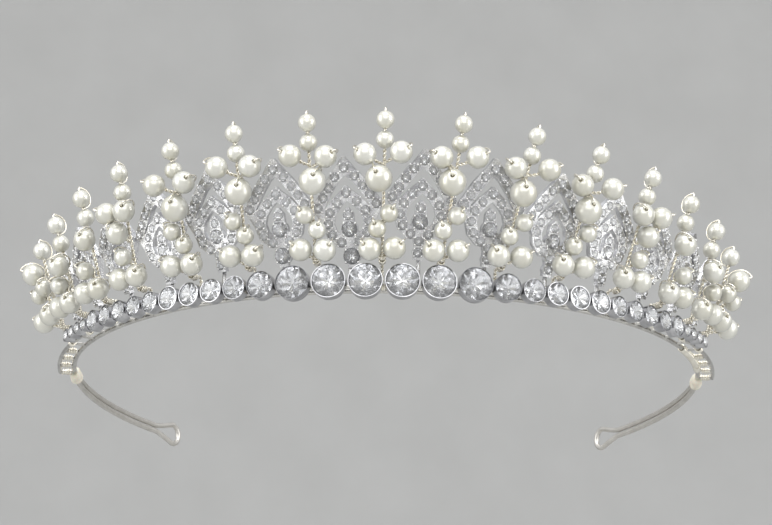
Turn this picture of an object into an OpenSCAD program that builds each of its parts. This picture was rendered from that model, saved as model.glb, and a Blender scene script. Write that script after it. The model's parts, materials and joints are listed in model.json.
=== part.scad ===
// Bridal tiara: a half-round band of cup-set stones, fourteen graded rhinestone
// arches, fifteen wired pearl sprays, and two springy wire hair loops.
// +Z is up, the front of the tiara faces -Y, and it stands level on its largest
// cups and on the tips of the two hair loops, at z = 0.

/* [Head band] */
// Radius of the line through the girdles of the base stones
band_r = 78.3; // [66:0.5:92]
// How far the band reaches round each side, from the front, in degrees
band_reach = 90; // [84:1:96]
// Thickness of the inner head wire
head_wire_d = 1.1; // [0.9:0.1:1.3]
// Thickness of the outer rail that carries the cups
outer_rail_d = 0.9; // [0.7:0.1:1.1]
// Distance between the middles of the two rails
rail_spacing = 3.4; // [2.8:0.1:4.2]
// Thickness of the rungs between the rails
rung_d = 0.8; // [0.6:0.1:0.9]
// Length of band from one rung to the next
rung_pitch = 6.4; // [4.5:0.1:9]

/* [Base stones] */
// Diameter of the three largest stones on each side of the front
large_stone_d = 7.2; // [6:0.1:8.6]
// Diameter of the one stone that follows them
step_stone_d = 5.8; // [4.8:0.1:6.8]
// Diameter of the next four stones
medium_stone_d = 4.9; // [4:0.1:5.8]
// Diameter of the next five stones
small_stone_d = 4.4; // [3.6:0.1:5.2]
// Diameter of the last four stones at each end
tiny_stone_d = 2.6; // [2:0.1:3]
// Free space between neighbouring cups
cup_gap = 0.5; // [0.1:0.05:0.6]
// Wall of a cup round its stone
cup_wall = 0.15; // [0.1:0.05:0.25]
// Depth of a cup behind the stone's girdle
cup_depth = 2.1; // [1.9:0.1:2.6]

/* [Arches] */
// Outward lean of the arches and sprays, in degrees
flare = 18; // [10:1:24]
// Height of the front arches' points above the stone line, along the wall
arch_height = 27.4; // [22:0.2:32]
// Share of their size that the last arches at the ends have lost
arch_grade = 0.36; // [0:0.02:0.4]
// Thickness of the cast arches
arch_t = 1.5; // [1.2:0.1:1.8]
// Diameter of the small pave stones in the front arches
pave_d = 2.1; // [1.7:0.05:2.3]
// Diameter of the stone in each front arch's drop
drop_d = 3.4; // [2.8:0.1:3.6]
// Thickness of the post that carries an arch on the outer rail
post_d = 1; // [0.8:0.1:1]

/* [Sprays] */
// Height of the front spray's top pearl above the stone line, along the wall
spray_height = 34.5; // [31:0.5:42]
// Share of their height that the last sprays at the ends have lost
spray_grade = 0.4; // [0:0.02:0.42]
// Angle from the front to the last spray on each side
spray_reach = 69.6; // [64:0.2:76]
// Diameter of the small pearls
small_pearl_d = 4; // [3.4:0.1:4]
// Diameter of the middle pearls
middle_pearl_d = 5; // [4.2:0.1:5]
// Diameter of the big pearls
big_pearl_d = 6; // [5:0.1:6]
// Thickness of a spray's twisted stem
stem_d = 0.8; // [0.6:0.05:0.9]
// Thickness of the wire that holds a pearl
branch_d = 0.6; // [0.4:0.05:0.7]
// Free space round the wire in a pearl's hole
bore_clear = 0.1; // [0.05:0.05:0.2]

/* [Hair loops] */
// Thickness of the hair loop wire
loop_wire_d = 1.1; // [0.9:0.1:1.3]
// Distance between the middles of the doubled wires
loop_wire_spacing = 1.4; // [1.4:0.1:1.8]
// Radius of the curve of the legs in plan
leg_curve_r = 105; // [85:1:130]
// Length of a leg from its sleeve to the loop
leg_length = 52; // [40:1:64]
// Radius of the round end of a loop, to the middle of the wire
loop_end_r = 2.35; // [2:0.05:3]
// Length over which the doubled wires open into the loop
loop_taper = 7; // [6:0.5:9]

/* [End sleeves] */
// Length of the sleeve that joins a leg to the head wire
sleeve_length = 6; // [5:0.5:8]
// Wall of the sleeve round the wires
sleeve_wall = 0.55; // [0.4:0.05:0.8]
// Side play of the leg wires in the sleeve's mouth
mouth_play = 0.45; // [0.4:0.05:0.6]

/* [Lashing] */
// Thickness of the fine wire that lashes the head wire to the cups
lashing_d = 0.4; // [0.3:0.05:0.5]
// Number of turns on each end of the band
lashing_turns = 9; // [4:1:12]

/* [Hidden] */
$fn = 48;
seat_clear = 0.02;
solder_gap = 0.03;
rung_to_end = 0.25;

// The stones on one side, from the front: [diameter, how many]
STONE_RUNS = [
    [large_stone_d, 3],
    [step_stone_d, 1],
    [medium_stone_d, 4],
    [small_stone_d, 5],
    [tiny_stone_d, 4],
];
STONE_SIZES = [for (run = STONE_RUNS) for (n = [1:run[1]]) run[0]];

function cup_r(stone_d) = stone_d / 2 + seat_clear + cup_wall;
function cup_pitch(a, b) = cup_r(a) + cup_r(b) + cup_gap;
function chord_angle(length, r) = 2 * asin(length / 2 / r);

// Angle of stone n on the right-hand side, counted from the front
function stone_angle(n) =
    n == 0 ? chord_angle(cup_pitch(STONE_SIZES[0], STONE_SIZES[0]), band_r) / 2
    : stone_angle(n - 1) + chord_angle(cup_pitch(STONE_SIZES[n - 1], STONE_SIZES[n]), band_r);

stone_z = cup_r(large_stone_d);
rail_z = stone_z - 0.75;
outer_rail_r = band_r - cup_depth - solder_gap - outer_rail_d / 2;
head_wire_r = outer_rail_r - rail_spacing;

// Fourteen arches stand between fifteen sprays
SPRAYS_A_SIDE = 7;
crowding = 0.12;
function spread(share) = spray_reach * ((1 + crowding) * share - crowding * pow(share, 3));
function spray_angle(i) = spread(i / SPRAYS_A_SIDE);
function arch_angle(i) = (spray_angle(i) + spray_angle(i + 1)) / 2;
function end_share(angle) = pow(angle / spray_reach, 2);
function arch_size(angle) = 1 - arch_grade * end_share(angle);
function spray_top(angle) = spray_height * (1 - spray_grade * end_share(angle));

// Arches lie behind the stone line, so that their posts clear the cups
arch_front = -2.4;
stem_front = -1.1;
pearl_back = -0.5;

// Seats of the pave stones in the front arch, as [share of its width across, share of its height up]
OUTER_SEATS = [[0, 0.93], [0.142, 0.861], [0.245, 0.783], [0.333, 0.705], [0.418, 0.627]];
INNER_SEATS = [[0, 0.728], [0.142, 0.66], [0.252, 0.584], [0.292, 0.496], [0.247, 0.408]];
DROP_TIP = [0, 0.553];
DROP_SEAT = [0, 0.443];
DROP_FEET = [[0.125, 0.344]];
STEM_SEATS = [[0, 0.29], [0, 0.2]];
STEM_BIG_SEAT = [0, 0.23];
STEM_END = [0, 0.14];
stem_big_d = 3.6;
seat_rim = 0.2;
seat_depth = 0.7;
large_seat_depth = 1.05;

// Pointed tip over the top stone of a chain, in widths of the chain
PEAK = [[-1.16, -0.4], [-0.15, 0.98], [0.15, 0.98], [1.16, -0.4]];
INNER_PEAK = PEAK * 0.7;
DROP_PEAK = [[-0.48, 0.1], [-0.08, 0.72], [0.08, 0.72], [0.48, 0.1]];

// Neighbouring arches keep this free space at the feet of their outer legs
arch_gap = 0.4;
arch_width = 2 * (band_r + OUTER_SEATS[4][1] * arch_height * sin(flare) + arch_front)
    * sin(spray_angle(1) / 2) - arch_gap;

// How each arch was set by hand, left to right, as [lift, tilt in degrees]
ARCH_SETTING = [
    [0, 0], [0, 1], [0, 0], [-0.4, 0], [0, 1], [-0.4, 2], [-1.2, 4.2],
    [0.5, -2], [0, 0], [-0.4, -1], [0, 0], [0, 1], [0, 0], [0, 0],
];

// Sprays: pearls as [across, below the top, diameter], then [across, above the foot, diameter]
FULL_TOP = [
    [0, 0, small_pearl_d],
    [0, 4.3, small_pearl_d],
    [-4.2, 7.4, middle_pearl_d],
    [3.6, 6.9, middle_pearl_d],
    [-1.1, 12.6, big_pearl_d],
];
FULL_FOOT = [
    [1.3, 7.5, small_pearl_d],
    [-1.2, 4.2, small_pearl_d],
    [-2.7, -0.2, middle_pearl_d],
    [2.6, 0.1, middle_pearl_d],
];
HALF_TOP = [
    [0, 0, small_pearl_d],
    [0, 4.3, small_pearl_d],
    [-2.4, 8.6, middle_pearl_d],
    [3, 8.2, middle_pearl_d],
    [0.9, 13, middle_pearl_d],
];
HALF_FOOT = [
    [0.9, 4.7, small_pearl_d],
    [-2.6, 0, middle_pearl_d],
    [2.6, 0.1, middle_pearl_d],
];
SLIM_TOP = [
    [0, 0, small_pearl_d],
    [0, 4.4, small_pearl_d],
    [-1.9, 9.5, middle_pearl_d],
];
SLIM_FOOT = [
    [1.3, 4.8, small_pearl_d],
    [-2.6, 0, middle_pearl_d],
    [2.6, 0.1, middle_pearl_d],
];
END_TOP = [
    [0, 0, small_pearl_d],
    [1.2, 4.7, middle_pearl_d],
];
END_FOOT = [
    [-2.1, 7, small_pearl_d],
    [2.2, 6.1, small_pearl_d],
    [-2.7, 0.5, middle_pearl_d],
    [2.6, 0, middle_pearl_d],
];

// Sideways place of each spray's foot, as these are wired by hand, left to right
FOOT_SHIFT = [0, 0.4, 0, -0.6, 0.3, 0, 0.4, -0.4, -2.6, -4, -4, -2.4, -1.2, 0.4, 0];

// Reach of the whole tiara, which puts the origin under the middle of its box
front_reach = band_r + (spray_height - FULL_TOP[3][1]) * sin(flare)
    + (pearl_back + middle_pearl_d / 2) * cos(flare) + middle_pearl_d / 2;
head_wire_depth = sleeve_length / 3;
mouth_depth = sleeve_length / 3;
leg_start_angle = band_reach + chord_angle(sleeve_length, head_wire_r)
    - chord_angle(mouth_depth * 0.7, head_wire_r);
leg_end_angle = leg_length / leg_curve_r * 180 / PI;
loop_angle = leg_start_angle + leg_end_angle;
back_reach = (leg_curve_r - head_wire_r) * cos(leg_start_angle) - leg_curve_r * cos(loop_angle)
    + (loop_taper + loop_end_r) * sin(loop_angle) + loop_wire_d / 2;
middle_y = (front_reach - back_reach) / 2;

silver = "silver";
crystal = "lightcyan";
ivory = "ivory";
cream = "floralwhite";

function numbered(name, n) = str(name, n < 10 ? "_0" : "_", n);

// Places its children at an angle round the band, with X across and -Y outward
module round_band(angle) {
    translate([0, middle_y, 0]) rotate([0, 0, angle]) children();
}

// Turns X across, Y up the leaning wall and Z outward into place, from the stone line
module on_wall(angle) {
    round_band(angle)
        translate([0, -band_r, stone_z])
            rotate([90 + flare, 0, 0])
                children();
}

// Moves Z to run from one point to another
module along(from, to) {
    way = to - from;
    translate(from)
        rotate([0, acos(way[2] / norm(way)), atan2(way[1], way[0])])
            children();
}

// A straight round wire
module rod(from, to, d) {
    along(from, to) cylinder(h = norm(to - from), d = d);
}

// A round wire bent to a part of a circle, from one angle round the band to another
module arc_wire(r, d, z, start, stop) {
    translate([0, middle_y, z])
        rotate([0, 0, start - 90])
            rotate_extrude(angle = stop - start)
                translate([r, 0]) circle(d = d);
}

// Stone with its table outward along Z and its girdle at z = 0
module stone(d) {
    rotate_extrude()
        polygon([
            [0, -0.27 * d],
            [0.1 * d, -0.27 * d],
            [d / 2, -0.03 * d],
            [d / 2, 0],
            [0.29 * d, 0.13 * d],
            [0, 0.13 * d],
        ]);
}

// Cup whose seat follows the back of its stone, open at the front and the back
module cup(d) {
    bore = d / 2 + seat_clear;
    back_hole = 0.2 * d;
    slope = (0.24 * d) / (0.4 * d);
    rotate_extrude()
        polygon([
            [back_hole, -cup_depth],
            [cup_r(d), -cup_depth],
            [cup_r(d), 0.04 * d],
            [bore, 0.04 * d],
            [bore, -0.03 * d - 2 * seat_clear],
            [back_hole, -0.03 * d - 2 * seat_clear - (bore - back_hole) * slope],
        ]);
}

// Puts its child at each stone n of the band, on both sides
module at_base_stones(first, last) {
    for (side = [-1, 1]) for (n = [first:last])
        round_band(side * stone_angle(n))
            translate([0, -band_r, stone_z])
                rotate([90, 0, 0]) {
                    $stone_d = STONE_SIZES[n];
                    children();
                }
}

LARGE = [0, 2];
MEDIUM = [3, 7];
SMALL = [8, 16];

module base_cups(range) {
    color(silver) at_base_stones(range[0], range[1]) cup($stone_d);
}

module base_stones(range) {
    color(crystal) at_base_stones(range[0], range[1]) stone($stone_d);
}

module head_wire() {
    end_angle = band_reach + chord_angle(head_wire_depth, head_wire_r);
    color(silver) arc_wire(head_wire_r, head_wire_d, rail_z, -end_angle, end_angle);
}

// The last rung stands just inside the end of the outer rail
rungs_a_side = floor(band_reach * PI / 180 * outer_rail_r / rung_pitch);
last_rung_angle = band_reach - chord_angle(rung_d / 2 + rung_to_end, head_wire_r);
function rung_angle(k) = k * last_rung_angle / rungs_a_side;

// Outer rail with its rungs, which end at the head wire
module band_ladder() {
    inner_end = head_wire_r + head_wire_d / 2 + solder_gap;
    color(silver) {
        arc_wire(outer_rail_r, outer_rail_d, rail_z, -band_reach, band_reach);
        for (k = [-rungs_a_side:rungs_a_side])
            round_band(rung_angle(k))
                translate([0, -inner_end, rail_z])
                    rotate([90, 0, 0])
                        cylinder(h = outer_rail_r - inner_end, d = rung_d);
    }
}

// Straight strip of the arch outline between two seats
module strip(a, b, width) {
    way = b - a;
    translate(a)
        rotate(atan2(way[1], way[0]))
            translate([0, -width / 2]) square([norm(way), width]);
}

module strip_chain(points, width) {
    for (i = [1:len(points) - 1]) strip(points[i - 1], points[i], width);
}

function both_ways(points) = concat(points, [for (p = points) if (p[0] != 0) [-p[0], p[1]]]);
function sized(p, size) = [p[0] * arch_width * size, p[1] * arch_height * size];
function scaled(points, size) = [for (p = points) sized(p, size)];
function to_side(side, points) = [for (p = points) [side * p[0], p[1]]];
function has_big_stem(i) = i == -2 || i == -1;

// Seats of the pave stones of arch i
function pave_seats(i, size) = scaled(concat(
    both_ways(OUTER_SEATS),
    both_ways(INNER_SEATS),
    [DROP_TIP],
    both_ways(DROP_FEET),
    has_big_stem(i) ? [] : STEM_SEATS
), size);

// Seats of the larger stones of arch i, each as [place, diameter]
function large_seats(i, size) = concat(
    [[sized(DROP_SEAT, size), drop_d * size]],
    has_big_stem(i) ? [[sized(STEM_BIG_SEAT, size), stem_big_d * size]] : []
);

module arch_outline(i, size) {
    web = pave_d * size + 2 * seat_rim;
    spine = scaled([DROP_TIP, DROP_SEAT, STEM_END], size);
    for (side = [-1, 1]) {
        outer = to_side(side, scaled(OUTER_SEATS, size));
        inner = to_side(side, scaled(INNER_SEATS, size));
        foot = to_side(side, scaled(DROP_FEET, size))[0];
        strip_chain(outer, web);
        strip_chain(inner, web);
        strip(outer[4], inner[3], web);
        strip(inner[4], foot, web);
        strip(foot, spine[1], web);
    }
    strip(spine[0], spine[1], web);
    strip(spine[1], spine[2], web * 0.8);
    translate(sized(OUTER_SEATS[0], size)) polygon(PEAK * web);
    translate(sized(INNER_SEATS[0], size)) polygon(INNER_PEAK * web);
    translate(spine[0]) polygon(DROP_PEAK * web);
    for (p = pave_seats(i, size)) translate(p) circle(d = web);
    for (s = large_seats(i, size)) translate(s[0]) circle(d = s[1] + 2 * seat_rim);
}

// Moves arch i on the wall to the place where it was set, tilted about its middle
module as_set(i) {
    setting = ARCH_SETTING[i + SPRAYS_A_SIDE];
    middle = arch_height * arch_size(arch_angle(i)) / 2;
    translate([0, middle + setting[0], 0])
        rotate(setting[1])
            translate([0, -middle, 0])
                children();
}

// Cast arch i, counted from -7 at the left to 6 at the right, on its post
module arch(i) {
    angle = arch_angle(i);
    size = arch_size(angle);
    post_r = band_r - cup_depth - solder_gap - post_d / 2;
    stem_end = STEM_END[1] * arch_height * size + ARCH_SETTING[i + SPRAYS_A_SIDE][0];
    post_top = stone_z + (stem_end + 1) * cos(flare) + (arch_t - arch_front) * sin(flare);
    color(silver) {
        on_wall(angle) as_set(i)
            difference() {
                translate([0, 0, arch_front - arch_t])
                    linear_extrude(arch_t) arch_outline(i, size);
                for (p = pave_seats(i, size))
                    translate([p[0], p[1], arch_front - seat_depth])
                        cylinder(h = arch_t, d = pave_d * size + 2 * seat_clear);
                for (s = large_seats(i, size))
                    translate([s[0][0], s[0][1], arch_front - large_seat_depth])
                        cylinder(h = arch_t, d = s[1] + 2 * seat_clear);
            }
        round_band(angle)
            translate([0, -post_r, rail_z + outer_rail_d / 2 + solder_gap])
                cylinder(h = post_top - rail_z - outer_rail_d / 2, d = post_d);
    }
}

// The small stones of all arches
module pave_stones() {
    color(crystal) for (i = [-7:6]) {
        angle = arch_angle(i);
        size = arch_size(angle);
        on_wall(angle) as_set(i) for (p = pave_seats(i, size))
            translate([p[0], p[1], arch_front]) stone(pave_d * size);
    }
}

// The stone of each arch's drop, and the ones in the two big stems
module drop_stones() {
    color(crystal) for (i = [-7:6]) {
        angle = arch_angle(i);
        size = arch_size(angle);
        on_wall(angle) as_set(i) for (s = large_seats(i, size))
            translate([s[0][0], s[0][1], arch_front]) stone(s[1]);
    }
}

function spray_foot(angle) = large_stone_d / 2 + middle_pearl_d / 2 + 0.8
    - (large_stone_d - small_stone_d) / 2 * 1.4 * end_share(angle);
function top_group(i) =
    abs(i) < 4 ? FULL_TOP : abs(i) == 4 ? HALF_TOP : abs(i) < 7 ? SLIM_TOP : END_TOP;
function foot_group(i) =
    abs(i) < 4 ? FULL_FOOT : abs(i) == 4 ? HALF_FOOT : abs(i) < 7 ? SLIM_FOOT : END_FOOT;

// The sprays' wires lean from their foot to their top
function lean_at(i, up) =
    FOOT_SHIFT[i + SPRAYS_A_SIDE] * (1 - (up - spray_foot(spray_angle(i)))
        / (spray_top(spray_angle(i)) - spray_foot(spray_angle(i))));
function stem_at(i, up) = [lean_at(i, up), up, stem_front];

// Pearls of spray i as [across, up, outward, diameter]; one that is not off to a side is on the stem
function pearl_out(across, d) = across == 0 ? stem_front : pearl_back + d / 2;
function spray_pearls(i) =
    let (angle = spray_angle(i), top = spray_top(angle), foot = spray_foot(angle), turn = i < 0 ? -1 : 1)
    concat(
        [for (p = top_group(i))
            [lean_at(i, top - p[1]) + turn * p[0], top - p[1], pearl_out(p[0], p[2]), p[2]]],
        [for (p = foot_group(i))
            [lean_at(i, foot + p[1]) + turn * p[0], foot + p[1], pearl_out(p[0], p[2]), p[2]]]
    );
function pearl_place(p) = [p[0], p[1], p[2]];
function on_stem(p) = p[2] == stem_front;
branch_rise = 2.3;
function branch_start(i, p) = stem_at(i, p[1] - branch_rise);

module spray_pearl(i, p) {
    centre = pearl_place(p);
    difference() {
        translate(centre) sphere(d = p[3]);
        along(branch_start(i, p), centre)
            cylinder(h = branch_rise * 2 + p[3], d = (on_stem(p) ? stem_d : branch_d) + 2 * bore_clear);
    }
}

module pearls_of_spray(i) {
    color(ivory) on_wall(spray_angle(i))
        for (p = spray_pearls(i)) spray_pearl(i, p);
}

// The wire of spray i: its stem, a branch to each pearl, and a tail over the cups to the band
module wire_of_spray(i) {
    angle = spray_angle(i);
    pearls = spray_pearls(i);
    bottom = spray_foot(angle) - 2.6;
    shift = lean_at(i, bottom);
    over_r = band_r + bottom * sin(flare) + stem_front * cos(flare);
    over_z = stone_z + bottom * cos(flare) - stem_front * sin(flare);
    back_r = outer_rail_r - outer_rail_d / 2 - stem_d / 2 - 0.05;
    corner_d = stem_d * 1.2;
    color(silver) {
        on_wall(angle) {
            rod(stem_at(i, bottom), stem_at(i, pearls[0][1]), stem_d);
            for (p = pearls) if (!on_stem(p)) rod(branch_start(i, p), pearl_place(p), branch_d);
        }
        round_band(angle) {
            translate([shift, -over_r, over_z]) sphere(d = corner_d);
            rod([shift, -over_r, over_z], [shift, -back_r, over_z], stem_d);
            translate([shift, -back_r, over_z]) sphere(d = corner_d);
            rod([shift, -back_r, over_z], [shift, -back_r, rail_z + rung_d / 2 + solder_gap], stem_d);
        }
    }
}

sleeve_height = loop_wire_spacing + loop_wire_d + 2 * sleeve_wall + 0.2;
sleeve_width = loop_wire_d + 2 * mouth_play + 2 * sleeve_wall;

// Sleeve at the end of the head wire, on the side given by 1 or -1: a flattened round with a bore
// for the head wire and a wider mouth for the leg
module end_sleeve(side) {
    mouth = [sleeve_height - 2 * sleeve_wall, loop_wire_d + 2 * mouth_play, sleeve_length];
    round_band(side * (band_reach + chord_angle(sleeve_length, head_wire_r) / 2))
        translate([0, -head_wire_r, rail_z])
            rotate([0, side * 90, 0])
                difference() {
                    intersection() {
                        cylinder(h = sleeve_length, d = sleeve_height, center = true);
                        cube([sleeve_height * 2, sleeve_width, sleeve_length * 2], center = true);
                    }
                    translate([0, 0, -sleeve_length / 2 - 1])
                        cylinder(h = head_wire_depth + 1.5, d = head_wire_d + 0.3);
                    translate([0, 0, sleeve_length - mouth_depth]) cube(mouth, center = true);
                }
}

module end_sleeves() {
    color(cream) for (side = [-1, 1]) end_sleeve(side);
}

// Place on a leg's centre line and the direction across the leg there
function leg_spot(angle, beyond, level) = [
    [
        leg_curve_r * cos(angle) - beyond * sin(angle),
        leg_curve_r * sin(angle) + beyond * cos(angle),
        level
    ],
    [cos(angle), sin(angle), 0]
];

// The wire runs out along the upper strand, round the loop and back along the lower strand
function leg_path() =
    let(
        half = loop_wire_spacing / 2,
        reach = norm([loop_taper, half]),
        round_start = 180 - atan2(half, loop_taper) - acos(loop_end_r / reach),
        steps = ceil(leg_length / 2.5),
        turns = 18
    )
    concat(
        [for (k = [0:steps]) leg_spot(k * leg_end_angle / steps, 0, half)],
        [
            for (k = [0:turns])
                let(a = round_start * (1 - 2 * k / turns))
                leg_spot(leg_end_angle, loop_taper + loop_end_r * cos(a), loop_end_r * sin(a))
        ],
        [for (k = [steps:-1:0]) leg_spot(k * leg_end_angle / steps, 0, -half)]
    );

// Wire of one thickness along a list of places, each with the direction across it
module swept_wire(path, d, sides = 10) {
    last = len(path) - 1;
    points = [
        for (i = [0:last])
            let(
                ahead = path[min(i + 1, last)][0] - path[max(i - 1, 0)][0],
                across = path[i][1],
                up = cross(across, ahead / norm(ahead))
            )
            for (k = [0:sides - 1])
                path[i][0] + d / 2 * (cos(k * 360 / sides) * across + sin(k * 360 / sides) * up)
    ];
    walls = [
        for (i = [0:last - 1])
            for (k = [0:sides - 1])
                let(a = i * sides + k, b = i * sides + (k + 1) % sides)
                [a, b, b + sides, a + sides]
    ];
    first_end = [for (k = [sides - 1:-1:0]) k];
    last_end = [for (k = [0:sides - 1]) last * sides + k];
    polyhedron(points, concat([first_end], walls, [last_end]));
}

// Doubled wire leg with its open loop, on the side given by 1 or -1; it starts inside the sleeve.
// A leg is the same upside down, so half a turn about Y takes the right one to the left.
module hair_loop(side) {
    color(silver)
        translate([0, middle_y, rail_z])
            rotate([0, side < 0 ? 180 : 0, 0])
                rotate([0, 0, leg_start_angle - 90])
                    translate([head_wire_r - leg_curve_r, 0, 0])
                        swept_wire(leg_path(), loop_wire_d);
}

// Close turns of fine wire on the head wire, between two rungs near the right end
module lashing_wire() {
    middle = (rung_angle(rungs_a_side - 2) + rung_angle(rungs_a_side - 1)) / 2;
    step = chord_angle(lashing_d + solder_gap, head_wire_r);
    color(silver)
        for (turn = [0:lashing_turns - 1])
            round_band(middle + (turn - (lashing_turns - 1) / 2) * step)
                translate([0, -head_wire_r, rail_z])
                    rotate([0, 90, 0])
                        rotate_extrude()
                            translate([head_wire_d / 2 + lashing_d / 2 + 0.02, 0]) circle(d = lashing_d);
}

head_wire();
band_ladder();
base_cups(LARGE);  // large_cups
base_cups(MEDIUM);  // medium_cups
base_cups(SMALL);  // small_cups
base_stones(LARGE);  // large_stones
base_stones(MEDIUM);  // medium_stones
base_stones(SMALL);  // small_stones
pave_stones();
drop_stones();
end_sleeves();
hair_loop(-1);  // left_hair_loop
hair_loop(1);  // right_hair_loop
lashing_wire();
for (n = [1:14]) arch(n - 8);
for (n = [1:15]) pearls_of_spray(n - 8);
for (n = [1:15]) wire_of_spray(n - 8);
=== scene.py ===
"""Looks of a pearl and crystal tiara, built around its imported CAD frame.

The castings, cups, band wires and rungs are the CAD's own solids with better materials.
Pearls, stones, soft wires, lashing, sleeves and hair loops are found in the CAD's solids
and built finer in the same places. Everything is in metres, in the CAD's frame.
"""

import json
import math
import random

import bpy
import numpy as np
from mathutils import Matrix, Vector


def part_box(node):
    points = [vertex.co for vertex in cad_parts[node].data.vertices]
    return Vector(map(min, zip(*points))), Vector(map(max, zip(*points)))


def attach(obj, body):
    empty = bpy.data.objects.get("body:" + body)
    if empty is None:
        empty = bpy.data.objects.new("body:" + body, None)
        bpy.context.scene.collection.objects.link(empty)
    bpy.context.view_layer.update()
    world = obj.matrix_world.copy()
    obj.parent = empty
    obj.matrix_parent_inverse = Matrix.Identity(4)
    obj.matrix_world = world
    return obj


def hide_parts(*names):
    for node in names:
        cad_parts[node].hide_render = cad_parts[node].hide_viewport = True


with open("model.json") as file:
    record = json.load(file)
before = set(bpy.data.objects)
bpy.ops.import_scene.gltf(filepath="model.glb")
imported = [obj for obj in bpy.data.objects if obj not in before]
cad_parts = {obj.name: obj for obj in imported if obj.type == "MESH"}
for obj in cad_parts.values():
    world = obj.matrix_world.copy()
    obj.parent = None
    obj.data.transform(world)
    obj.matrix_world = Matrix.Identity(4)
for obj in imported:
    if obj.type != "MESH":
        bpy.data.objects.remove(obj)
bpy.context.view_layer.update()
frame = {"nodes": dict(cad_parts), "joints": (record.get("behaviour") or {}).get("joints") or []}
chance = random.Random(11)

MM = 0.001
UP = Vector((0, 0, 1))

# Shape of the band and of the wires, as the CAD has them
BAND_R = 78.3 * MM
FLARE = math.radians(18)
STEM_D = 0.8 * MM
HEAD_WIRE_D = 1.1 * MM
OUTER_RAIL_D = 0.9 * MM
RUNG_D = 0.8 * MM
RUNG_TO_END = 0.25 * MM
RUNGS_A_SIDE = 18
BAND_REACH = math.radians(90)
LEG_CURVE_R = 105 * MM
LEG_LENGTH = 52 * MM
LOOP_END_R = 2.35 * MM
LOOP_TAPER = 7 * MM

# The doubled wire of a leg, a little thicker and further apart than the CAD's 1.1 and 1.4 mm
LOOP_WIRE_D = 1.2 * MM
LOOP_WIRE_GAP = 1.45 * MM

# Finer than the CAD: two strands twisted together stand for each soft wire
STRAND_R = 0.22 * MM
TWIST_R = 0.22 * MM
TWIST_PITCH = 2.0 * MM
COIL_PITCH = 0.4 * MM

# Edges of the pearls' holes, and the beads round the stones, which the CAD leaves out
DRILL_R = 0.5 * MM
PAVE_BEAD_R = 0.28 * MM
DROP_BEAD_R = 0.32 * MM

# Soft wire wound round the band near its ends
LASHING_R = 0.2 * MM
LASHING_PITCH = 0.43 * MM
LASHING_RUN = math.radians(13)
RUNG_WRAP_R = 0.19 * MM
RUNG_WRAP_START = 0.9 * MM
RUNGS_WRAPPED = 4


# ---------------------------------------------------------------- materials

class Nodes:
    """Short way to build one node material."""

    def __init__(self, name):
        self.material = bpy.data.materials.new(name)
        self.material.use_nodes = True
        self.tree = self.material.node_tree
        self.shader = self.tree.nodes["Principled BSDF"]
        self.place = self.add("ShaderNodeTexCoord").outputs["Object"]

    def add(self, kind, **inputs):
        node = self.tree.nodes.new(kind)
        for name, value in inputs.items():
            socket = node.inputs[name.replace("_", " ")]
            if isinstance(value, bpy.types.NodeSocket):
                self.tree.links.new(value, socket)
            else:
                socket.default_value = value
        return node

    def link(self, output, name):
        self.tree.links.new(output, self.shader.inputs[name])

    def set(self, **inputs):
        for name, value in inputs.items():
            self.shader.inputs[name.replace("_", " ")].default_value = value

    def noise(self, per_mm, detail=3.0, rough=0.55):
        node = self.add("ShaderNodeTexNoise", Vector=self.place, Scale=per_mm / MM, Detail=detail)
        node.inputs["Roughness"].default_value = rough
        return node.outputs["Fac"]

    def ramp(self, factor, low, high, start=0.3, end=0.7):
        node = self.add("ShaderNodeValToRGB", Fac=factor)
        node.color_ramp.elements[0].position = start
        node.color_ramp.elements[0].color = (*low, 1)
        node.color_ramp.elements[1].position = end
        node.color_ramp.elements[1].color = (*high, 1)
        return node.outputs["Color"]

    def range(self, factor, low, high):
        node = self.add("ShaderNodeMapRange", Value=factor, To_Min=low, To_Max=high)
        return node.outputs["Result"]

    def bump(self, height, depth_mm, strength=0.5):
        node = self.add("ShaderNodeBump", Height=height, Distance=depth_mm * MM, Strength=strength)
        self.link(node.outputs["Normal"], "Normal")


def metal(name, low, high, rough_low, rough_high, grain_per_mm, depth_mm):
    """Metal with uneven polish, a slight colour drift and a fine uneven surface."""
    m = Nodes(name)
    m.set(Metallic=1.0)
    m.link(m.ramp(m.noise(0.35), low, high), "Base Color")
    m.link(m.range(m.noise(grain_per_mm, 4), rough_low, rough_high), "Roughness")
    m.bump(m.noise(grain_per_mm * 1.5, 5), depth_mm)
    return m.material


def pearl_material():
    m = Nodes("pearl")
    m.set(Metallic=0.55, IOR=1.6, Coat_Weight=0.9, Coat_Roughness=0.1, Coat_IOR=1.55)
    m.link(m.ramp(m.noise(0.12, 2), (0.63, 0.615, 0.53), (0.73, 0.725, 0.67)), "Base Color")
    m.link(m.range(m.noise(1.2), 0.30, 0.42), "Roughness")
    m.bump(m.noise(1.6, 4), 0.02, 0.25)
    return m.material


def crystal_material(name, clear):
    """Cut glass; the less clear it is, the more light its own body gives back."""
    m = Nodes(name)
    m.set(Transmission_Weight=clear, IOR=1.5)
    m.link(m.ramp(m.noise(0.6), (0.96, 0.97, 0.98), (1.0, 1.0, 1.0)), "Base Color")
    m.link(m.range(m.noise(2.0), 0.0, 0.03), "Roughness")
    return m.material


def foil_material():
    m = Nodes("foil")
    m.set(Metallic=1.0)
    m.link(m.ramp(m.noise(0.8), (0.80, 0.81, 0.83), (0.93, 0.93, 0.94)), "Base Color")
    m.link(m.range(m.noise(2.5), 0.06, 0.18), "Roughness")
    return m.material


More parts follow.
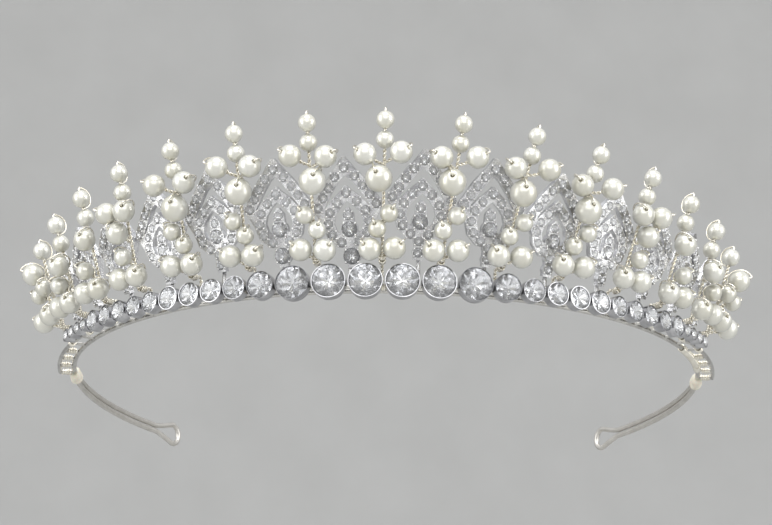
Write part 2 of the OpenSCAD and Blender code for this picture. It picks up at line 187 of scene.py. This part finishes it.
def sleeve_material():
    m = Nodes("cream_sleeve")
    m.set(Specular_IOR_Level=0.4, Subsurface_Weight=0.1, Subsurface_Scale=0.5 * MM)
    m.link(m.ramp(m.noise(0.7, 5), (0.66, 0.61, 0.49), (0.80, 0.76, 0.65)), "Base Color")
    m.link(m.range(m.noise(2.0), 0.35, 0.6), "Roughness")
    m.bump(m.noise(1.5, 6), 0.12, 0.6)
    return m.material


CAST_SILVER = metal("cast_silver", (0.40, 0.40, 0.41), (0.88, 0.88, 0.89), 0.08, 0.22, 2.6, 0.2)
CUP_SILVER = metal("cup_silver", (0.30, 0.30, 0.31), (0.56, 0.56, 0.57), 0.08, 0.22, 1.6, 0.03)
BEAD_SILVER = metal("bead_silver", (0.80, 0.80, 0.80), (0.94, 0.94, 0.94), 0.06, 0.18, 3.0, 0.02)
BAND_WIRE = metal("band_wire", (0.44, 0.43, 0.41), (0.66, 0.65, 0.61), 0.16, 0.34, 2.0, 0.03)
FINE_WIRE = metal("fine_wire", (0.78, 0.74, 0.64), (0.92, 0.89, 0.80), 0.16, 0.30, 3.0, 0.02)
LOOP_WIRE = metal("loop_wire", (0.56, 0.54, 0.50), (0.66, 0.64, 0.60), 0.34, 0.48, 1.4, 0.02)
PEARL = pearl_material()
CRYSTAL = crystal_material("crystal", 0.85)
PAVE_CRYSTAL = crystal_material("pave_crystal", 0.76)
FOIL = foil_material()
SLEEVE = sleeve_material()


# ---------------------------------------------------------------- reading the CAD

def solids_of(node):
    """The separate solids of a CAD node: corners, and their faces' centres and normals.

    A normal is as long as its face is large.
    """
    mesh = frame["nodes"][node].data
    corners = np.empty(len(mesh.vertices) * 3)
    mesh.vertices.foreach_get("co", corners)
    corners = corners.reshape(-1, 3)
    mesh.calc_loop_triangles()
    faces = np.empty(len(mesh.loop_triangles) * 3, dtype=np.int64)
    mesh.loop_triangles.foreach_get("vertices", faces)
    faces = faces.reshape(-1, 3)
    _, same = np.unique(np.round(corners / 1e-7).astype(np.int64), axis=0, return_inverse=True)
    same = same.reshape(-1)
    joined = same[faces]
    label = np.arange(same.max() + 1)
    while True:
        lower = label.copy()
        lowest = label[joined].min(axis=1)
        for k in range(3):
            np.minimum.at(lower, joined[:, k], lowest)
        lower = lower[lower]
        if np.array_equal(lower, label):
            break
        label = lower
    solids = []
    for name in np.unique(label):
        mine = faces[label[joined[:, 0]] == name]
        a, b, c = corners[mine[:, 0]], corners[mine[:, 1]], corners[mine[:, 2]]
        solids.append({"corners": np.unique(corners[mine.ravel()], axis=0),
                       "centres": (a + b + c) / 3, "normals": np.cross(b - a, c - a) / 2})
    return solids


def pearl_of(solid):
    """Centre, radius and drilling direction of a CAD pearl."""
    p = solid["corners"]
    answer = np.linalg.lstsq(np.c_[2 * p, np.ones(len(p))], (p * p).sum(axis=1), rcond=None)[0]
    centre = answer[:3]
    radius = math.sqrt(answer[3] + centre @ centre)
    facing_in = ((solid["centres"] - centre) * solid["normals"]).sum(axis=1) < 0
    bore = solid["normals"][facing_in]
    drill = Vector(np.linalg.eigh(bore.T @ bore)[1][:, 0])
    if drill.z < 0:
        drill = -drill
    return {"at": Vector(centre), "r": radius, "drill": drill}


def stone_of(solid):
    """Girdle centre, width and outward direction of a CAD stone."""
    axes = np.linalg.eigh(np.cov(solid["corners"].T))[1]
    along = solid["corners"] @ axes
    middle = (along.max(axis=0) + along.min(axis=0)) / 2
    off = np.hypot(along[:, 1] - middle[1], along[:, 2] - middle[2])
    width = 2 * off.max()
    high = along[:, 0] - middle[0]
    table_r = off[high > high.max() - 0.01 * width].max()
    back_r = off[high < high.min() + 0.01 * width].max()
    facing = 1 if table_r > back_r else -1
    middle[0] += facing * (high.max() - TABLE_HEIGHT * width)
    return {"at": Vector(axes @ middle), "d": width, "out": Vector(axes[:, 0] * facing)}


def ring_of(node):
    """Middle of the round band, taken from the head wire's corners."""
    p = solids_of(node)[0]["corners"][:, :2]
    answer = np.linalg.lstsq(np.c_[2 * p, np.ones(len(p))], (p * p).sum(axis=1), rcond=None)[0]
    return Vector((0, answer[1], 0))


RING = ring_of("head_wire")
HEAD_LOW, HEAD_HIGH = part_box("head_wire")
RAIL_Z = (HEAD_LOW.z + HEAD_HIGH.z) / 2
HEAD_WIRE_R = RING.y - HEAD_LOW.y - HEAD_WIRE_D / 2
OUTER_RAIL_R = RING.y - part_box("band_ladder")[0].y - OUTER_RAIL_D / 2


def outward_at(place):
    """Level direction away from the middle of the band."""
    return Vector((place.x, place.y - RING.y, 0)).normalized()


def wall_out(place):
    """Direction square to the flared wall of castings and sprays."""
    return outward_at(place) * math.cos(FLARE) - UP * math.sin(FLARE)


def wall_up(place):
    """Direction up the flared wall."""
    return UP * math.cos(FLARE) + outward_at(place) * math.sin(FLARE)


def on_ring(angle, radius, height):
    """Point round the band; angle 0 is the front and it grows towards +X."""
    return Vector((radius * math.sin(angle), RING.y - radius * math.cos(angle), height))


# ---------------------------------------------------------------- mesh building

class Builder:
    """Collects corners and faces of one piece."""

    def __init__(self):
        self.corners = []
        self.faces = []
        self.slots = []
        self.smooth = []

    def add(self, corners, faces, slot=0, smooth=True):
        first = len(self.corners)
        self.corners.extend(corners)
        for face in faces:
            self.faces.append([first + k for k in face])
            self.slots.append(slot)
            self.smooth.append(smooth)

    def piece(self, name, materials, slot, body, *nodes):
        mesh = bpy.data.meshes.new(name)
        mesh.from_pydata([tuple(c) for c in self.corners], [], self.faces)
        for material in materials:
            mesh.materials.append(material)
        mesh.polygons.foreach_set("material_index", self.slots)
        mesh.polygons.foreach_set("use_smooth", self.smooth)
        mesh.update()
        piece = bpy.data.objects.new(name, mesh)
        bpy.context.scene.collection.objects.link(piece)
        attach(piece, body)
        if nodes:
            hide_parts(*nodes)


def ring_faces(rings, sides):
    """Four-sided faces that join each ring of corners to the next one."""
    faces = []
    for ring in range(rings - 1):
        for k in range(sides):
            n = (k + 1) % sides
            faces.append([ring * sides + k, ring * sides + n,
                          (ring + 1) * sides + n, (ring + 1) * sides + k])
    return faces


def frame_on(direction):
    """Two directions square to the one given and to each other."""
    direction = direction.normalized()
    helper = Vector((1, 0, 0)) if abs(direction.x) < 0.8 else Vector((0, 1, 0))
    across = direction.cross(helper).normalized()
    return across, direction.cross(across)


def frames_along(path):
    """Directions across a path that turn with it as little as they can."""
    across = frame_on(path[1] - path[0])[0]
    frames = []
    for k in range(len(path)):
        ahead = (path[min(k + 1, len(path) - 1)] - path[max(k - 1, 0)]).normalized()
        across = (across - ahead * across.dot(ahead)).normalized()
        frames.append((across, ahead.cross(across), ahead))
    return frames


def tube(builder, path, radius, sides=8, end=0.0):
    """Round wire along a path; end is how far its tips bulge."""
    frames = frames_along(path)
    corners = []
    for place, (across, other, _) in zip(path, frames):
        for k in range(sides):
            a = 2 * math.pi * k / sides
            corners.append(place + radius * (math.cos(a) * across + math.sin(a) * other))
    faces = ring_faces(len(path), sides)
    last = (len(path) - 1) * sides
    corners.append(path[0] - frames[0][2] * end)
    corners.append(path[-1] + frames[-1][2] * end)
    for k in range(sides):
        n = (k + 1) % sides
        faces.append([n, k, len(corners) - 2])
        faces.append([last + k, last + n, len(corners) - 1])
    builder.add(corners, faces)


def smooth_path(points, step):
    """Even places along a smooth curve through the points."""
    ends = [points[0] * 2 - points[1], *points, points[-1] * 2 - points[-2]]
    fine = []
    for k in range(1, len(ends) - 2):
        a, b, c, d = ends[k - 1:k + 3]
        for t in np.linspace(0, 1, 12, endpoint=False):
            fine.append(0.5 * ((2 * b) + (c - a) * t + (2 * a - 5 * b + 4 * c - d) * t ** 2
                               + (3 * b - a - 3 * c + d) * t ** 3))
    fine.append(points[-1])
    lengths = np.cumsum([0] + [(fine[k + 1] - fine[k]).length for k in range(len(fine) - 1)])
    count = max(2, int(lengths[-1] / step) + 1)
    even = np.linspace(0, lengths[-1], count)
    columns = [np.interp(even, lengths, [p[axis] for p in fine]) for axis in range(3)]
    return [Vector(p) for p in zip(*columns)]


def twisted_pair(builder, points, start_turn=0.0):
    """Two strands twisted together along a smooth curve through the points."""
    path = smooth_path(points, TWIST_PITCH / 9)
    step = (path[1] - path[0]).length
    frames = frames_along(path)
    for strand in (0, math.pi):
        wound = []
        for k, (place, (across, other, _)) in enumerate(zip(path, frames)):
            a = start_turn + strand + 2 * math.pi * k * step / TWIST_PITCH
            wound.append(place + TWIST_R * (math.cos(a) * across + math.sin(a) * other))
        tube(builder, wound, STRAND_R, 6, end=STRAND_R * 0.5)


# ---------------------------------------------------------------- stones

TABLE_HEIGHT = 0.13
TABLE_R = 0.29
GIRDLE_DROP = 0.03
CULET_DROP = 0.27
CULET_R = 0.1


def polar(radius, eighths, height):
    a = math.pi / 4 * eighths
    return Vector((radius * math.cos(a), radius * math.sin(a), height))


def brilliant():
    """Round brilliant of width 1: crown corners and faces, then pavilion corners and faces."""
    star_r = 0.405
    star_height = TABLE_HEIGHT * (0.5 - star_r * math.cos(math.pi / 8)) / (0.5 - TABLE_R)
    crown = [polar(TABLE_R, k, TABLE_HEIGHT) for k in range(8)]
    crown += [polar(star_r, k + 0.5, star_height) for k in range(8)]
    crown += [polar(0.5, k / 2, 0) for k in range(16)]
    crown_faces = [list(range(8))]
    for k in range(8):
        n = (k + 1) % 8
        before = (k - 1) % 8
        crown_faces.append([k, 8 + k, n])
        crown_faces.append([k, 8 + before, 16 + 2 * k, 8 + k])
        crown_faces.append([8 + k, 16 + 2 * k, 16 + 2 * k + 1])
        crown_faces.append([8 + k, 16 + 2 * k + 1, 16 + 2 * n])
    back_r = 0.27
    back_drop = GIRDLE_DROP + (CULET_DROP - GIRDLE_DROP) * (0.5 - back_r) / (0.5 - CULET_R)
    pavilion = [polar(0.5, k / 2, 0) for k in range(16)]
    pavilion += [polar(0.5, k / 2, -GIRDLE_DROP) for k in range(16)]
    pavilion += [polar(back_r, k + 0.5, -back_drop) for k in range(8)]
    pavilion.append(Vector((0, 0, -CULET_DROP)))
    pavilion_faces = []
    for k in range(16):
        n = (k + 1) % 16
        pavilion_faces.append([k, 16 + k, 16 + n, n])
    for k in range(8):
        n = (k + 1) % 8
        before = (k - 1) % 8
        pavilion_faces.append([16 + 2 * k, 32 + k, 16 + 2 * k + 1])
        pavilion_faces.append([16 + 2 * k + 1, 32 + k, 16 + 2 * n])
        pavilion_faces.append([16 + 2 * k, 32 + before, 40, 32 + k])
    return crown, crown_faces, pavilion, pavilion_faces


CROWN, CROWN_FACES, PAVILION, PAVILION_FACES = brilliant()


def stone_matrix(stone):
    """Turns a width-1 stone into its seat, with a small chance turn and tilt."""
    across, other = frame_on(stone["out"])
    turn = Matrix((across, other, stone["out"])).transposed().to_4x4()
    spin = Matrix.Rotation(chance.uniform(0, math.pi / 4), 4, "Z")
    tilt = Matrix.Rotation(math.radians(chance.uniform(-1.5, 1.5)), 4, "X")
    return Matrix.Translation(stone["at"]) @ turn @ tilt @ spin @ Matrix.Scale(stone["d"], 4)


def stones_piece(node, glass):
    builder = Builder()
    stones = [stone_of(s) for s in solids_of(node)]
    for stone in stones:
        place = stone_matrix(stone)
        builder.add([place @ c for c in CROWN], CROWN_FACES, 0, False)
        builder.add([place @ c for c in PAVILION], PAVILION_FACES, 1, False)
    builder.piece("cut_" + node, [glass, FOIL], "crystal", "tiara", node)
    return stones


def dome(builder, place, out, radius, height):
    """Small rounded bead of metal that holds a stone."""
    across, other = frame_on(out)
    corners = []
    rings = 3
    sides = 8
    for ring in range(rings):
        lift = math.pi / 2 * ring / rings
        for k in range(sides):
            a = 2 * math.pi * k / sides
            flat = math.cos(lift) * radius
            corners.append(place + flat * (math.cos(a) * across + math.sin(a) * other)
                           + out * height * math.sin(lift))
    corners.append(place + out * height)
    corners.append(place - out * radius)
    faces = ring_faces(rings, sides)
    for k in range(sides):
        n = (k + 1) % sides
        faces.append([(rings - 1) * sides + k, (rings - 1) * sides + n, rings * sides])
        faces.append([n, k, rings * sides + 1])
    builder.add(corners, faces)


def seat_beads(name, stones, radius):
    """Four metal beads round every stone of a casting."""
    builder = Builder()
    for stone in stones:
        across = UP.cross(stone["out"]).normalized()
        up = stone["out"].cross(across)
        for quarter in range(4):
            a = math.pi / 4 + math.pi / 2 * quarter
            way = math.cos(a) * across + math.sin(a) * up
            place = stone["at"] + way * (stone["d"] / 2 + radius * 0.35)
            dome(builder, place, stone["out"], radius, radius * 1.1)
    builder.piece(name, [BEAD_SILVER], "cast_silver", "tiara")


# ---------------------------------------------------------------- pearls and their wires

def drilled_pearl(builder, pearl, sides=30, rings=15):
    """Pearl with a rounded edge to its drilled hole, closed a little way down inside."""
    r = pearl["r"]
    edge = math.asin(DRILL_R / r)
    profile = [(DRILL_R * 0.8, -r * 0.55), (DRILL_R * 0.8, -r * 0.9)]
    for k in range(rings + 1):
        a = -math.pi / 2 + edge * 1.08 + (math.pi - 2.16 * edge) * k / rings
        profile.append((r * math.cos(a), r * math.sin(a)))
    profile += [(DRILL_R * 0.8, r * 0.9), (DRILL_R * 0.8, r * 0.55)]
    across, other = frame_on(pearl["drill"])
    corners = []
    for out, along in profile:
        for k in range(sides):
            a = 2 * math.pi * k / sides
            corners.append(pearl["at"] + pearl["drill"] * along
                           + out * (math.cos(a) * across + math.sin(a) * other))
    faces = ring_faces(len(profile), sides)
    faces.append(list(range(sides))[::-1])
    last = (len(profile) - 1) * sides
    faces.append([last + k for k in range(sides)])
    builder.add(corners, faces)


def wire_back_over(builder, pearl, towards):
    """Wire out of a pearl's far hole, bent back over the pearl to its near hole."""
    drill = pearl["drill"]
    side = (towards - drill * towards.dot(drill)).normalized()
    r = pearl["r"]
    points = [pearl["at"] + drill * r * 0.6,
              pearl["at"] + drill * (r + 0.25 * MM),
              pearl["at"] + drill * (r + 0.55 * MM) + side * 0.3 * MM]
    for degrees in (62, 38, 10, -20, -50):
        a = math.radians(degrees)
        points.append(pearl["at"] + (r + 0.45 * MM) * (drill * math.sin(a) + side * math.cos(a)))
    points.append(pearl["at"] - drill * (r + 0.3 * MM) + side * 0.25 * MM)
    tube(builder, smooth_path(points, 0.35 * MM), STRAND_R, 8, end=STRAND_R)


def wire_stub(builder, pearl):
    """Short pinched end of wire that stands out of a pearl's hole."""
    drill = pearl["drill"]
    path = [pearl["at"] + drill * (pearl["r"] - 0.6 * MM),
            pearl["at"] + drill * (pearl["r"] + 0.5 * MM)]
    tube(builder, path, STRAND_R * 1.3, 6, end=STRAND_R)


def tail_of(number):
    """Where a spray's wire hangs behind the band: angle, reach, highest and lowest level."""
    p = solids_of(f"spray_wire_{number:02d}")[0]["corners"]
    reach = np.hypot(p[:, 0], p[:, 1] - RING.y)
    tail = p[reach < OUTER_RAIL_R]
    angle = float(np.median(np.arctan2(tail[:, 0], RING.y - tail[:, 1])))
    back = float(reach.min() + STEM_D * 0.6)
    return angle, back, float(tail[:, 2].max() - STEM_D * 0.6), float(tail[:, 2].min())


def wrap(builder, start, way, turns, core_r, strand_r):
    """Turns of wire wound round a straight stem, from its start along the way given."""
    across, other = frame_on(way)
    wound = []
    for k in range(int(turns * 12) + 1):
        a = 2 * math.pi * k / 12
        swell = core_r + strand_r * (1 + 0.35 * math.sin(1.7 * a))
        wound.append(start + way * strand_r * 2.1 * k / 12
                     + swell * (math.cos(a) * across + math.sin(a) * other))
    tube(builder, wound, strand_r, 6, end=strand_r * 0.6)


def coil(builder, rail_r, wire_r, angle, turns, pitch, strand_r):
    """Turns of wire wound close on a rail of the band."""
    steps = int(turns * 14)
    wound = []
    radius = wire_r + strand_r
    for k in range(steps + 1):
        turn = 2 * math.pi * k / 14
        along = angle + (k / 14 - turns / 2) * pitch / rail_r
        out = rail_r + radius * math.cos(turn)
        wound.append(on_ring(along, out, RAIL_Z + radius * math.sin(turn)))
    tube(builder, wound, strand_r, 7, end=strand_r * 0.6)


def spray(number):
    """Pearls and twisted wires of one spray."""
    pearls = [pearl_of(s) for s in solids_of(f"spray_pearls_{number:02d}")]
    on_stem = [p for p in pearls if p["drill"].dot(wall_up(p["at"])) > 0.9]
    on_branch = [p for p in pearls if p not in on_stem]
    top = max(on_stem, key=lambda p: p["at"].z)
    angle, back, over_z, low_z = tail_of(number)
    stem_way = top["drill"]
    foot = top["at"] - stem_way * ((top["at"].z - over_z) / stem_way.z)

    wires = Builder()
    heights = [foot, foot.lerp(top["at"], 0.35), foot.lerp(top["at"], 0.7), top["at"]]
    twisted_pair(wires, heights, chance.uniform(0, 3))
    corner = on_ring(angle, back, over_z)
    end = on_ring(angle, back, low_z)
    twisted_pair(wires, [foot, foot.lerp(corner, 0.5) + UP * 0.3 * MM, corner, end])
    coil(wires, OUTER_RAIL_R, OUTER_RAIL_D / 2, angle, 3, COIL_PITCH, STRAND_R)
    wrap(wires, foot, stem_way, 5, STEM_D / 2, STRAND_R * 0.9)
    wrap(wires, foot, (corner - foot).normalized(), 4, STEM_D / 2, STRAND_R * 0.9)
    wire_back_over(wires, top, -wall_out(top["at"]))
    for pearl in on_stem:
        if pearl is not top:
            wire_stub(wires, pearl)
    for pearl in on_branch:
        along = (pearl["at"] - foot).dot(stem_way)
        start = foot + stem_way * max(0, along - 2.3 * MM)
        near = pearl["at"] - pearl["drill"] * (pearl["r"] - 0.5 * MM)
        sagging = start.lerp(near, 0.6) - UP * 0.2 * MM
        twisted_pair(wires, [start, sagging, near], chance.uniform(0, 3))
        wire_back_over(wires, pearl, -wall_out(pearl["at"]) + UP * chance.uniform(-0.2, 0.6))
    wires.piece(f"twisted_wire_{number:02d}", [FINE_WIRE], "fine_wire", "tiara",
                f"spray_wire_{number:02d}")

    beads = Builder()
    for pearl in pearls:
        drilled_pearl(beads, pearl)
    beads.piece(f"drilled_pearls_{number:02d}", [PEARL], "pearl", "tiara",
                f"spray_pearls_{number:02d}")


# ---------------------------------------------------------------- ends of the band

def lashing():
    """Fine wire wound on the inner rail near one end, and a further run of it towards the front."""
    places = np.concatenate([s["corners"] for s in solids_of("lashing_wire")])
    angles = np.arctan2(places[:, 0], RING.y - places[:, 1])
    low = float(angles.min())
    high = float(angles.max())
    turns = (high - low) * HEAD_WIRE_R / LASHING_PITCH - 1
    builder = Builder()
    coil(builder, HEAD_WIRE_R, HEAD_WIRE_D / 2, (high + low) / 2, turns, LASHING_PITCH, LASHING_R)
    builder.piece("wound_lashing", [FINE_WIRE], "fine_wire", "tiara", "lashing_wire")

    run = Builder()
    turns = LASHING_RUN * HEAD_WIRE_R / LASHING_PITCH - 2
    middle = low - LASHING_RUN / 2
    coil(run, HEAD_WIRE_R, HEAD_WIRE_D / 2, middle, turns, LASHING_PITCH, LASHING_R)
    run.piece("lashing_run", [FINE_WIRE], "fine_wire", "tiara")


def rung_wraps():
    """Soft wire wound on the last rungs at both ends of the band."""
    builder = Builder()
    last = BAND_REACH - 2 * math.asin((RUNG_D / 2 + RUNG_TO_END) / 2 / HEAD_WIRE_R)
    for side in (-1, 1):
        for k in range(RUNGS_A_SIDE - RUNGS_WRAPPED + 1, RUNGS_A_SIDE + 1):
            start = on_ring(side * last * k / RUNGS_A_SIDE, HEAD_WIRE_R + RUNG_WRAP_START, RAIL_Z)
            wrap(builder, start, outward_at(start), 5, RUNG_D / 2, RUNG_WRAP_R)
    builder.piece("rung_wraps", [FINE_WIRE], "fine_wire", "tiara")


def sleeve(builder, solid):
    """Soft cream sleeve pressed over the end of the band."""
    p = solid["corners"]
    middle = p.mean(axis=0)
    axes = np.linalg.eigh(np.cov((p - middle).T))[1]
    way = Vector(axes[:, 2])
    across = UP.cross(way).normalized()
    up = way.cross(across)
    centre = Vector((p.max(axis=0) + p.min(axis=0)) / 2)
    sizes = [np.ptp((p - middle) @ np.array(d)) for d in (across, up, way)]
    rings = 16
    sides = 24
    corners = []
    for ring in range(rings + 1):
        t = ring / rings
        swell = math.sin(math.pi * min(1, max(0, t * 0.94 + 0.03))) ** 0.3
        swell *= 0.93 + 0.07 * math.sin(t * 9 + 1)
        for k in range(sides):
            a = 2 * math.pi * k / sides
            dent = 1 + 0.035 * math.sin(3 * a + t * 5) + 0.02 * math.sin(5 * a - t * 11)
            corners.append(centre + way * sizes[2] * (t - 0.5)
                           + across * math.cos(a) * sizes[0] / 2 * swell * dent
                           + up * math.sin(a) * sizes[1] / 2 * swell * dent)
    faces = ring_faces(rings + 1, sides)
    faces.append(list(range(sides))[::-1])
    faces.append([rings * sides + k for k in range(sides)])
    builder.add(corners, faces)


def leg_points(side):
    """Centre line of a doubled leg: out on one strand, round the loop, back on the other."""
    leg = "right_leg" if side > 0 else "left_leg"
    joint = next(j for j in frame["joints"] if j["child"] == leg)
    pivot = Vector(joint["pos_m"])
    start = math.atan2(pivot.y - RING.y, abs(pivot.x))
    middle = RING + Vector((0, 0, RAIL_Z)) + Vector((math.cos(start), math.sin(start), 0)) * (
        HEAD_WIRE_R - LEG_CURVE_R)
    bend = LEG_LENGTH / LEG_CURVE_R
    half = LOOP_WIRE_GAP / 2

    def spot(turn, beyond, level):
        a = start + turn
        place = middle + Vector((math.cos(a), math.sin(a), 0)) * LEG_CURVE_R
        place += Vector((-math.sin(a), math.cos(a), 0)) * beyond + UP * level
        return Vector((side * place.x, place.y, place.z))

    strand = [spot(bend * t, 0, half) for t in np.linspace(0, 1, 22)]
    shoulder = spot(bend, LOOP_TAPER * 0.42, half + LOOP_END_R * 0.26)
    round_end = [spot(bend, LOOP_TAPER + LOOP_END_R * math.cos(a), LOOP_END_R * math.sin(a))
                 for a in np.radians(np.linspace(100, -100, 15))]
    low_shoulder = spot(bend, LOOP_TAPER * 0.42, -half - LOOP_END_R * 0.26)
    back = [spot(bend * t, 0, -half) for t in np.linspace(1, 0, 22)]
    return [*strand, shoulder, *round_end, low_shoulder, *back]


def hair_loop(side, name):
    builder = Builder()
    tube(builder, smooth_path(leg_points(side), 0.6 * MM), LOOP_WIRE_D / 2, 18)
    builder.piece(f"bent_wire_{name}", [LOOP_WIRE], "loop_wire", f"{name}_leg", f"{name}_hair_loop")


# ---------------------------------------------------------------- putting it together

CAD_LOOKS = {"head_wire": BAND_WIRE, "band_ladder": BAND_WIRE, "large_cups": CUP_SILVER,
             "medium_cups": CUP_SILVER, "small_cups": CUP_SILVER}
for number in range(1, 15):
    CAD_LOOKS[f"arch_{number:02d}"] = CAST_SILVER
for node, material in CAD_LOOKS.items():
    for slot in frame["nodes"][node].material_slots:
        slot.material = material

for node in ("large_stones", "medium_stones", "small_stones"):
    stones_piece(node, CRYSTAL)
seat_beads("pave_beads", stones_piece("pave_stones", PAVE_CRYSTAL), PAVE_BEAD_R)
seat_beads("drop_beads", stones_piece("drop_stones", CRYSTAL), DROP_BEAD_R)
for number in range(1, 16):
    spray(number)
lashing()
rung_wraps()
sleeves = Builder()
for solid in solids_of("end_sleeves"):
    sleeve(sleeves, solid)
sleeves.piece("soft_sleeves", [SLEEVE], "cream_sleeve", "tiara", "end_sleeves")
hair_loop(-1, "left")
hair_loop(1, "right")


# ---------------------------------------------------------------- stage, lights and camera

def stage_material(name, low, high):
    m = Nodes(name)
    m.link(m.ramp(m.noise(0.02), low, high), "Base Color")
    m.set(Roughness=0.7)
    return m.material


FLOOR_BELOW = 0.33
FLOOR_FRONT = -2.2
SWEEP_START = 1.4
SWEEP_R = 0.6
WALL_TOP = 2.6
STAGE_HALF_WIDTH = 2.5


def backdrop():
    """Pale floor that curves up well behind the tiara, so a camera fits in between."""
    profile = [(FLOOR_FRONT, 0.0), (SWEEP_START, 0.0)]
    for k in range(1, 13):
        a = math.pi / 2 * k / 12
        profile.append((SWEEP_START + SWEEP_R * math.sin(a), SWEEP_R - SWEEP_R * math.cos(a)))
    profile.append((SWEEP_START + SWEEP_R, WALL_TOP))
    corners = []
    for y, z in profile:
        corners.append((-STAGE_HALF_WIDTH, y, z - FLOOR_BELOW))
        corners.append((STAGE_HALF_WIDTH, y, z - FLOOR_BELOW))
    faces = [[2 * k, 2 * k + 1, 2 * k + 3, 2 * k + 2] for k in range(len(profile) - 1)]
    mesh = bpy.data.meshes.new("backdrop")
    mesh.from_pydata(corners, [], faces)
    mesh.polygons.foreach_set("use_smooth", [True] * len(faces))
    mesh.materials.append(stage_material("pale_paper", (0.52, 0.52, 0.51), (0.55, 0.55, 0.54)))
    floor = bpy.data.objects.new("backdrop", mesh)
    bpy.context.scene.collection.objects.link(floor)


TIARA_MIDDLE = Vector((0, 0, 0.02))


def area_light(name, place, size, brightness):
    """Soft box that faces the tiara; brightness is what a mirror would show of it."""
    data = bpy.data.lights.new(name, "AREA")
    data.shape = "RECTANGLE"
    data.size, data.size_y = size
    data.energy = brightness * math.pi * size[0] * size[1]
    lamp = bpy.data.objects.new(name, data)
    lamp.location = place
    aim = TIARA_MIDDLE - Vector(place)
    lamp.rotation_euler = aim.to_track_quat("-Z", "Y").to_euler()
    bpy.context.scene.collection.objects.link(lamp)


def studio_world():
    """Soft room light that grows from warm grey below to pale and cool overhead."""
    world = bpy.data.worlds.new("studio")
    world.use_nodes = True
    nodes = world.node_tree.nodes
    links = world.node_tree.links
    place = nodes.new("ShaderNodeTexCoord")
    split = nodes.new("ShaderNodeSeparateXYZ")
    ramp = nodes.new("ShaderNodeValToRGB")
    ramp.color_ramp.elements[0].position = 0.3
    ramp.color_ramp.elements[0].color = (0.36, 0.35, 0.32, 1)
    ramp.color_ramp.elements[1].position = 0.7
    ramp.color_ramp.elements[1].color = (0.85, 0.86, 0.88, 1)
    height = nodes.new("ShaderNodeMapRange")
    height.inputs["From Min"].default_value = -1
    links.new(place.outputs["Generated"], split.inputs["Vector"])
    links.new(split.outputs["Z"], height.inputs["Value"])
    links.new(height.outputs["Result"], ramp.inputs["Fac"])
    links.new(ramp.outputs["Color"], nodes["Background"].inputs["Color"])
    bpy.context.scene.world = world


CAMERA_BELOW = math.radians(16.1)
CAMERA_ROUND = math.radians(0.5)
CAMERA_ROLL = math.radians(0.67)
CAMERA_AWAY = 0.933
CAMERA_AIM = Vector((0.4, 0, 3.9)) * MM
FRONT_LEVEL = 3.8 * MM
LENS_MM = 202
SENSOR_MM = 36


def camera():
    """Long lens, a little below the tiara and looking up at its front."""
    front = on_ring(0, BAND_R, FRONT_LEVEL) + CAMERA_AIM
    back = Vector((math.sin(CAMERA_ROUND) * math.cos(CAMERA_BELOW),
                   -math.cos(CAMERA_ROUND) * math.cos(CAMERA_BELOW), -math.sin(CAMERA_BELOW)))
    data = bpy.data.cameras.new("camera")
    data.sensor_width = SENSOR_MM
    data.lens = LENS_MM
    data.clip_start = 0.01
    lens = bpy.data.objects.new("camera", data)
    turn = (-back).to_track_quat("-Z", "Y").to_matrix().to_4x4()
    roll = Matrix.Rotation(CAMERA_ROLL, 4, "Z")
    lens.matrix_world = Matrix.Translation(front + back * CAMERA_AWAY) @ turn @ roll
    bpy.context.scene.collection.objects.link(lens)
    bpy.context.scene.camera = lens


backdrop()
area_light("top_box", (0.0, -0.45, 0.85), (0.55, 0.40), 6.0)
area_light("left_box", (-1.0, -0.45, 0.20), (0.6, 1.0), 2.8)
area_light("right_box", (1.0, -0.45, 0.20), (0.6, 1.0), 2.8)
area_light("front_box", (0.0, -1.8, 0.50), (1.6, 0.8), 2.2)
studio_world()
bpy.context.scene.view_settings.view_transform = "Standard"
camera()
